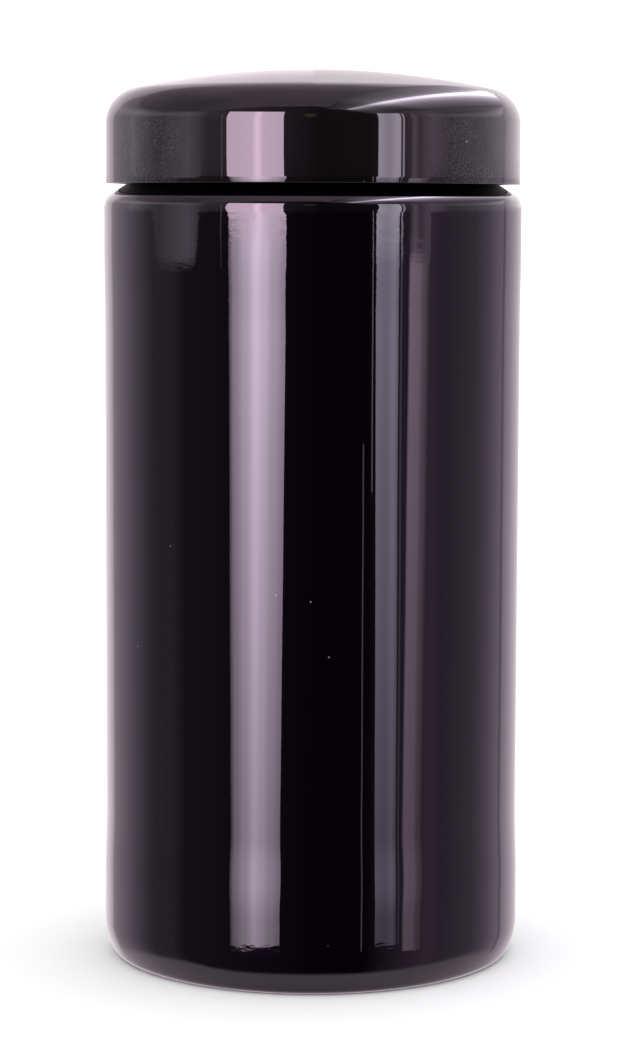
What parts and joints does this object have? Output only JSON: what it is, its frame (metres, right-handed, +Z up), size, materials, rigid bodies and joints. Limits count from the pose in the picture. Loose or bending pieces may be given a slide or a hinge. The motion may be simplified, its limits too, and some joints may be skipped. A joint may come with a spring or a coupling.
{
  "type": "screw-top jar",
  "caption": "Tall cylindrical glass storage jar with rounded shoulder and heel, closed by a domed double-wall screw lid with a sealing liner.",
  "frame": {"origin": "centre of the base, in the plane the jar stands on", "axes": "+Z up along the jar's axis, towards the lid; +X and +Y across, with the thread's lower end at +X"},
  "size_m": [0.0957, 0.0958, 0.2033],
  "materials": {
    "violet_glass": "polished, near-black violet",
    "gloss_black_shell": "gloss black, fine handling marks",
    "black_cap": "satin moulded black",
    "foam_liner": "white closed-cell foam"
  },
  "bodies": {
    "jar": {"jar_body": "violet_glass"},
    "liner": {"sealing_liner": "foam_liner"},
    "lid": {"lid_outer_shell": "gloss_black_shell", "lid_inner_cap": "black_cap"}
  },
  "joints": [
    {"name": "lid_lift", "type": "slide", "parent": "jar", "child": "liner", "axis": [0, 0, 1], "range_m": [0, 0.014]},
    {"name": "lid_turn", "type": "hinge", "parent": "liner", "child": "lid", "pos_m": [0, 0, 0.191], "axis": [0, 0, 1], "range_deg": [0, 990]}
  ],
  "couplings": [
    {"joint": "lid_lift", "follows": "lid_turn", "m_per_rad": 0.00080851}
  ]
}
